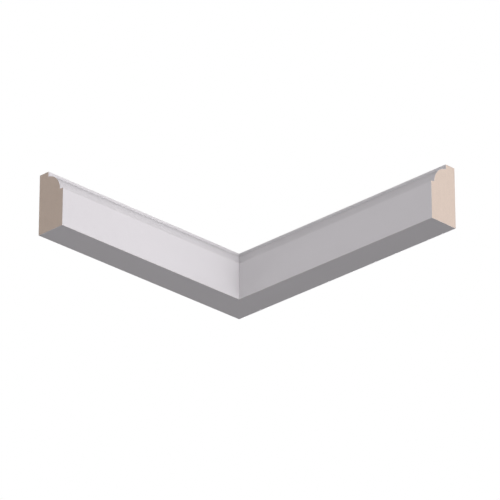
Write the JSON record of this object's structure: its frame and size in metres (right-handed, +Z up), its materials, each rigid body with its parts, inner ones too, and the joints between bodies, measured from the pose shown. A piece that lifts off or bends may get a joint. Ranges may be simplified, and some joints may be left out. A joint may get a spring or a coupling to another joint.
{
  "type": "decorative moulding",
  "caption": "Inside corner of white painted fibreboard moulding, a quarter-round between a broad face and a slim fillet, mitred at a right angle, with raw square-cut ends.",
  "frame": {"origin": "middle of the bounding box's underside, on the surface that the corner stands on", "axes": "+Z up the face to the fillet, +X along the right length from the wall corner to its free end, -Y along the left length from the wall corner to its free end; the backs face +Y and -X"},
  "size_m": [0.2734, 0.253, 0.06],
  "materials": {
    "painted_board": "smooth satin white paint on every long face, raw beige fibreboard on the sawn ends"
  },
  "bodies": {
    "root": {"right_length": "painted_board", "left_length": "painted_board"}
  },
  "joints": []
}
